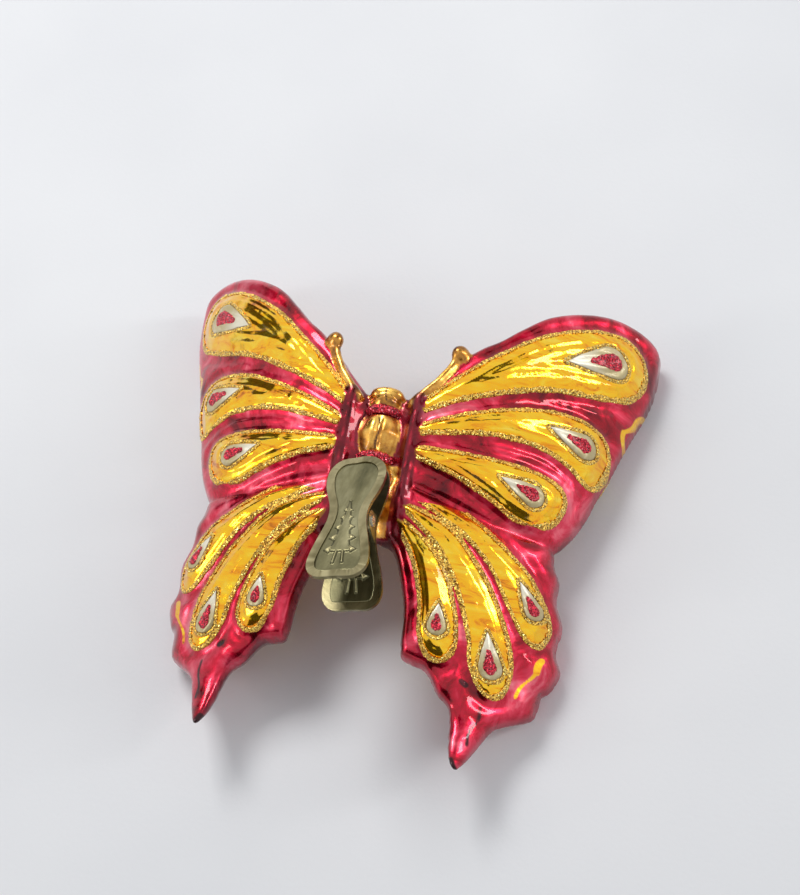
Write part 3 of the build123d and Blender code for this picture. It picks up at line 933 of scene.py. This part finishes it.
def coatings(red_glitter):
    """Everything thin on the wings, from one fine grid."""
    axes = grid_axes(FINE_LOW, FINE_HIGH, FINE_STEP)
    wings, plan = wing_field(*axes, FINE_STEP)
    grain = grain_noise(wings.shape)
    drops = np.maximum(plan["drop_fore"], plan["drop_hind"])
    glitter_lines(axes, wings, glitter_plan(axes, plan, drops), grain)
    pearl_drops(axes, wings, drops)
    red_hearts(axes, wings, np.maximum(plan["heart_fore"], plan["heart_hind"]), grain, red_glitter)


COLLAR_STEP = 0.3
COLLAR_BOX = 7
COLLAR_HALF_LENGTH = 3
COLLAR_TUBE = 1.1
COLLAR_ROUGHNESS = 0.7


def collar_grains(name, place, radius, red_glitter):
    """A ring of red glitter round the body."""
    axes = grid_axes((-COLLAR_BOX, place - COLLAR_HALF_LENGTH, -COLLAR_BOX),
                     (COLLAR_BOX, place + COLLAR_HALF_LENGTH, COLLAR_BOX), COLLAR_STEP)
    x, y, w = open_axes(axes)
    grain = grain_noise([len(axis) for axis in axes])
    ring = np.hypot(np.hypot(x, w) - radius, y - place) - COLLAR_TUBE
    field = ring - COLLAR_ROUGHNESS * (grain - 0.5)
    collar = mesh_object(name, field.astype(np.float32), axes, COLLAR_STEP)
    collar.data.materials.append(red_glitter)
    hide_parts(name.replace("grains", "glitter"))
    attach(collar, "ornament")


# A leaf's half outline, as shares of its width and length from the jaw's tip
LEAF_LENGTH, LEAF_WIDTH = 38.0, 14.2
LEAF_EDGE = [(0.00, 0.000), (0.30, -0.020), (0.46, -0.090), (0.50, -0.190), (0.44, -0.310),
             (0.335, -0.440), (0.33, -0.550), (0.42, -0.700), (0.49, -0.830), (0.47, -0.940),
             (0.34, -0.993), (0.00, -1.000)]
LEAF_RUNS = 8
leaf_points = LEAF_EDGE + [(-a, b) for a, b in reversed(LEAF_EDGE[1:-1])]
leaf_loop = loop(leaf_points, LEAF_RUNS, (LEAF_WIDTH, LEAF_LENGTH))

# The conifer on a leaf. Boughs: y, distance from the middle, size
SPIRE_TOP, SPIRE_FOOT = -14.6, -30.9
SPIRE_HEIGHT, BOUGH_HEIGHT, STEM_HEIGHT = 0.34, 0.62, 0.5
BOUGHS = [(-17.9, 0.62, 0.50), (-20.2, 0.98, 0.62), (-23.3, 1.62, 0.86), (-26.6, 2.20, 0.98),
          (-30.2, 2.85, 1.06)]
BOUGH_COS, BOUGH_SIN = 0.80, 0.60
TOOTH = 3.1


def spire_height(ax, y):
    """The toothed middle of the tree."""
    half = 0.10 + 0.135 * (SPIRE_TOP - y)
    tooth = 0.25 * np.mod(-14.9 - y, TOOTH) / TOOTH
    inside = smooth((half + tooth - ax + 0.1) / 0.45) * (y < SPIRE_TOP)
    return inside * smooth((y - SPIRE_FOOT) / 0.6) * SPIRE_HEIGHT


def bough_height(ax, y, level, out, size):
    """A drop whose tip points up and inward."""
    u, v = ax - out, y - level
    lean = u * BOUGH_COS + v * BOUGH_SIN
    rise = -u * BOUGH_SIN + v * BOUGH_COS
    width = size * (0.78 - 0.34 * np.clip(rise / size, -0.6, 1.6))
    ends = np.minimum(rise + size * 0.62, size * 1.7 - rise)
    return smooth(np.minimum(width - np.abs(lean), ends) / (size * 0.55)) * BOUGH_HEIGHT


def tree_height(x, y):
    """Embossed conifer: a spire, pairs of boughs, and two stems at the foot."""
    ax = np.abs(x)
    h = spire_height(ax, y)
    for level, out, size in BOUGHS:
        h = np.maximum(h, bough_height(ax, y, level, out, size))
    ends = np.minimum(-30.2 - y, y + 34.2)
    stem = np.minimum(0.40 - np.abs(ax - 0.80 + 0.10 * (y + 31)), ends)
    return np.maximum(h, smooth(stem / 0.4) * STEM_HEIGHT)


PANEL_PITCH = 0.16
PANEL_HALF_WIDTH = 6.2
PANEL_FOOT, PANEL_TOP = -36.6, -1.4
RIM_WIDTH = 1.75
LEAF_SHEET = 0.60
PANEL_LIFT = 0.02
PANEL_THICKNESS = 0.12
RIVET_CLEAR = 2.0
# The inner panel ends short of the ears
INNER_PANEL_TOP = -21.5


def panel_shape(gx, gy, inner):
    """Where the panel is, and its height over the leaf's inner face."""
    inside = signed(leaf_loop, gx, gy) - RIM_WIDTH
    keep = inside > 0
    if inner:
        keep &= (np.hypot(gx, gy + NECK_SETBACK) >= RIVET_CLEAR) & (gy < INNER_PANEL_TOP)
    rise = tree_height(gx, gy) + 0.05 * np.sin(gx * 0.9) * np.sin(gy * 0.5)
    rise = rise * smooth(inside / 0.5) + 0.03 * smooth(inside / 0.4)
    height = -PANEL_LIFT - rise if inner else LEAF_SHEET + PANEL_LIFT + rise
    return keep, height


def panel_quads(keep):
    """Quads between the kept points of a grid."""
    index = -np.ones(keep.shape, int)
    index[keep] = np.arange(keep.sum())
    corners = np.stack([index[:-1, :-1], index[1:, :-1], index[1:, 1:], index[:-1, 1:]], -1)
    return corners[(corners >= 0).all(-1)]


def relief_panel(name, side, inner, body, material):
    """A thin embossed panel lying in the recess of a leaf."""
    origin, ex, ey, ez = leaf_axes(side)
    xs = np.arange(-PANEL_HALF_WIDTH, PANEL_HALF_WIDTH + PANEL_PITCH, PANEL_PITCH)
    ys = np.arange(PANEL_FOOT, PANEL_TOP, PANEL_PITCH)
    gx, gy = np.meshgrid(xs, ys, indexing="ij")
    keep, height = panel_shape(gx, gy, inner)
    quads = panel_quads(keep)
    if inner:
        quads = quads[:, ::-1]
    points = origin + gx[keep][:, None] * ex + gy[keep][:, None] * ey + height[keep][:, None] * ez
    mesh = bpy.data.meshes.new(name)
    mesh.from_pydata((points * MM).tolist(), [], quads.tolist())
    put_attribute(mesh, "raised", tree_height(gx, gy)[keep] / STEM_HEIGHT)
    obj = link_smooth(name, mesh)
    solid = obj.modifiers.new("solid", "SOLIDIFY")
    solid.thickness = PANEL_THICKNESS * MM
    solid.offset = -1
    obj.data.materials.append(material)
    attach(obj, body)


# The spring, as in the model: degrees from its middle to each end, and lengths
SPRING_HALF_TURN = 180 * 4 + 90 - 15
SPRING_PITCH = 1.05
SPRING_RADIUS = 1.75
SPRING_LEG = 9.0
WIRE_RADIUS = 0.35
WIRE_SIDES = 14
COIL_POINTS = 200
LEG_POINTS = 14
# The wire's cut ends: share of the radius, and how far they stand out
CUT_SHARE = 0.62
CUT_ROUND = 0.12
# The pivot's distance behind the jaws' tips
PIVOT_SETBACK = 18.0


def coil_point(t):
    across = CX * (SPRING_PITCH * t / (2 * math.pi))
    back = CY * (SPRING_RADIUS * math.cos(t) - PIVOT_SETBACK)
    return CO + across + back + CZ * (SPRING_RADIUS * math.sin(t))


def coil_heading(t):
    v = CX * (SPRING_PITCH / (2 * math.pi)) - CY * (SPRING_RADIUS * math.sin(t))
    v = v + CZ * (SPRING_RADIUS * math.cos(t))
    return v / np.linalg.norm(v)


def spring_path():
    """A leg up the lower handle, four and a half turns, and the leg up the upper handle."""
    turns = np.radians(np.linspace(-SPRING_HALF_TURN, SPRING_HALF_TURN, COIL_POINTS))
    first, last = turns[0], turns[-1]
    shares = np.linspace(0, 1, LEG_POINTS)
    path = [coil_point(first) - coil_heading(first) * SPRING_LEG * (1 - k) for k in shares[:-1]]
    path += [coil_point(t) for t in turns]
    path += [coil_point(last) + coil_heading(last) * SPRING_LEG * k for k in shares[1:]]
    return np.array(path)


def wire_rings(path, along):
    """Rings of points round the wire, in metres."""
    points = []
    normal = np.cross(along[0], CX)
    for p, t in zip(path, along):
        normal = normal - t * (normal @ t)
        normal /= np.linalg.norm(normal)
        other = np.cross(t, normal)
        for k in range(WIRE_SIDES):
            a = 2 * math.pi * k / WIRE_SIDES
            points.append((p + (normal * math.cos(a) + other * math.sin(a)) * WIRE_RADIUS) * MM)
    return points


def band_faces(low, high):
    """Quads between two rings, given by their first points."""
    faces = []
    for k in range(WIRE_SIDES):
        n = (k + 1) % WIRE_SIDES
        faces.append((low + k, low + n, high + n, high + k))
    return faces


def cut_end(points, faces, first, centre, outward, flip):
    """Close the wire's end by a smaller ring and a cap."""
    ring = len(points)
    for k in range(WIRE_SIDES):
        q = points[first + k]
        points.append(centre * MM + (q - centre * MM) * CUT_SHARE + outward * CUT_ROUND * MM)
    closing = band_faces(first, ring) + [tuple(range(ring, ring + WIRE_SIDES))]
    faces += [face[::-1] if flip else face for face in closing]


def wound_spring(material):
    """The wound wire, each leg riding on its own handle."""
    path = spring_path()
    along = np.gradient(path, axis=0)
    along /= np.linalg.norm(along, axis=1, keepdims=True)
    points = wire_rings(path, along)
    faces = []
    for i in range(len(path) - 1):
        faces += band_faces(i * WIRE_SIDES, (i + 1) * WIRE_SIDES)
    cut_end(points, faces, 0, path[0], -along[0], True)
    cut_end(points, faces, (len(path) - 1) * WIRE_SIDES, path[-1], along[-1], False)
    mesh = bpy.data.meshes.new("wound_spring")
    mesh.from_pydata([tuple(q) for q in points], [], faces)
    obj = link_smooth("wound_spring", mesh)
    obj.data.materials.append(material)
    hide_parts("torsion_spring")
    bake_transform(obj)


def clip():
    """Looks of the clip's CAD nodes, with its relief panels and its spring."""
    antique = metal_material("antique_brass", (0.10, 0.085, 0.035), (0.20, 0.17, 0.085),
                             (0.34, 0.30, 0.17), (0.26, 0.42), 180, BRASS_GRIME, brushed=True)
    embossed = metal_material("embossed_brass", (0.085, 0.080, 0.038), (0.17, 0.155, 0.080),
                              (0.28, 0.26, 0.15), (0.28, 0.44), 180, BRASS_GRIME, brushed=True,
                              raised=True)
    steel = metal_material("steel", (0.30, 0.30, 0.29), (0.52, 0.52, 0.51), (0.72, 0.72, 0.70),
                           (0.2, 0.38), 400)
    wire = metal_material("spring_wire", (0.16, 0.15, 0.14), (0.30, 0.29, 0.27), (0.48, 0.46, 0.43),
                          (0.25, 0.4), 500)
    cap_metal = metal_material("cap_brass", (0.20, 0.12, 0.03), (0.46, 0.32, 0.11), (0.72, 0.55, 0.24),
                               (0.22, 0.42), 300)
    give("clip_upper_leaf", antique)
    give("clip_lower_leaf", antique)
    give("clip_pivot_pin", steel)
    give("neck_cap", cap_metal)
    give("cap_rivet", cap_metal)
    wound_spring(wire)
    relief_panel("clip_upper_relief", 1, False, "upper_leaf", embossed)
    relief_panel("clip_lower_relief", -1, True, "ornament", embossed)


# The camera, fitted to the photo. Its place is in mm from the thorax
CAMERA_LENS = 59.4
CAMERA_SENSOR = 36
CAMERA_AXES = (Vector((0.9711, 0.1998, -0.1303)), Vector((-0.1258, 0.8931, 0.4319)),
               Vector((0.2027, -0.403, 0.8925)))
CAMERA_PLACE = (71.33, -135.35, 292.44)


def set_camera(scene):
    data = bpy.data.cameras.new("camera")
    data.sensor_fit = "HORIZONTAL"
    data.sensor_width = CAMERA_SENSOR
    data.lens = CAMERA_LENS
    camera = bpy.data.objects.new("camera", data)
    scene.collection.objects.link(camera)
    x, y, z = CAMERA_PLACE
    columns = CAMERA_AXES + (Vector((x, y + AHEAD, z + RAISE)) * MM,)
    rows = [[column[i] for column in columns] for i in range(3)]
    camera.matrix_world = Matrix(rows + [[0, 0, 0, 1]])
    scene.camera = camera


# From here on lengths are in metres
FLOOR_HALF = 4
FLOOR_STOPS = [(0.3, (0.74, 0.745, 0.76)), (0.7, (0.80, 0.805, 0.815))]
CARD_STOPS = [(0.3, (0.03, 0.028, 0.028)), (0.7, (0.05, 0.047, 0.045))]


def flat_object(scene, name, half_width, half_height):
    """A flat rectangle round its own origin."""
    mesh = bpy.data.meshes.new(name)
    mesh.from_pydata([(-half_width, -half_height, 0), (half_width, -half_height, 0),
                      (half_width, half_height, 0), (-half_width, half_height, 0)], [], [(0, 1, 2, 3)])
    obj = bpy.data.objects.new(name, mesh)
    scene.collection.objects.link(obj)
    return obj


def pale_floor(scene):
    floor = flat_object(scene, "floor", FLOOR_HALF, FLOOR_HALF)
    m = Nodes("pale_floor")
    m.set(Base_Color=m.ramp(m.noise(9, 3, 0.5), FLOOR_STOPS), Roughness=0.85,
          Normal=m.bump(m.noise(900, 2, 0.5), 0.0002, 0.2))
    floor.data.materials.append(m.material)


FILL_LIGHT = ((0.92, 0.95, 1.0, 1), 0.45)
PALE_LIGHT = ((0.86, 0.87, 0.88, 1), 0.98)


def background(tree, colour, strength):
    node = tree.nodes.new("ShaderNodeBackground")
    node.inputs[0].default_value = colour
    node.inputs[1].default_value = strength
    return node.outputs[0]


def pale_world(scene):
    """Dim fill on matt surfaces, and pale surroundings for the camera, mirrors and clear glass."""
    world = bpy.data.worlds.new("world")
    scene.world = world
    world.use_nodes = True
    tree = world.node_tree
    tree.nodes.clear()
    out = tree.nodes.new("ShaderNodeOutputWorld")
    mix = tree.nodes.new("ShaderNodeMixShader")
    rays = tree.nodes.new("ShaderNodeLightPath").outputs
    seen = rays["Is Camera Ray"]
    for kind in ("Is Glossy Ray", "Is Transmission Ray"):
        larger = tree.nodes.new("ShaderNodeMath")
        larger.operation = "MAXIMUM"
        tree.links.new(seen, larger.inputs[0])
        tree.links.new(rays[kind], larger.inputs[1])
        seen = larger.outputs[0]
    tree.links.new(seen, mix.inputs[0])
    tree.links.new(background(tree, *FILL_LIGHT), mix.inputs[1])
    tree.links.new(background(tree, *PALE_LIGHT), mix.inputs[2])
    tree.links.new(mix.outputs[0], out.inputs[0])


AIM = (0, 0, 0.03)
# Name, place, width, height, and power in watts
SOFTBOXES = [("key", (-0.35, 0.45, 0.75), 0.36, 0.30, 4.6), ("side", (0.75, 0.25, 0.45), 0.12, 0.50, 2.2),
             ("fill", (-0.75, -0.35, 0.50), 0.16, 0.45, 1.4)]
# Name, place, width, height
DARK_CARDS = [("card_behind", (0.05, -0.95, 0.55), 1.6, 0.55), ("card_left", (-0.85, 0.55, 0.30), 0.5, 0.45),
              ("card_top", (0.28, 0.42, 0.95), 0.24, 0.55)]


def aim(obj, at):
    """Put an object at a place, facing the ornament."""
    obj.location = at
    obj.rotation_euler = (Vector(AIM) - Vector(at)).to_track_quat("-Z", "Y").to_euler()


def softbox(scene, name, at, width, height, power):
    data = bpy.data.lights.new(name, "AREA")
    data.shape = "RECTANGLE"
    data.size = width
    data.size_y = height
    data.energy = power
    obj = bpy.data.objects.new(name, data)
    scene.collection.objects.link(obj)
    aim(obj, at)


def dark_card(scene, name, at, width, height):
    """A dark card beside the ornament, for the mirrored glass to reflect."""
    obj = flat_object(scene, name, width / 2, height / 2)
    aim(obj, at)
    m = Nodes(name + "_paint")
    m.set(Base_Color=m.ramp(m.noise(8), CARD_STOPS), Roughness=0.9)
    obj.data.materials.append(m.material)


def stage(scene):
    set_camera(scene)
    pale_floor(scene)
    pale_world(scene)
    for row in SOFTBOXES:
        softbox(scene, *row)
    for row in DARK_CARDS:
        dark_card(scene, *row)
    scene.view_settings.view_transform = "Standard"


butterfly_glass()
red_flakes = glitter_material("red_glitter", (0.72, 0.03, 0.06), (0.22, 0.003, 0.012), 0.35)
coatings(red_flakes)
collar_grains("head_collar_grains", HEAD_COLLAR_Y, 4.2, red_flakes)
collar_grains("waist_collar_grains", WAIST_COLLAR_Y, 4.57, red_flakes)
clip()
stage(bpy.context.scene)
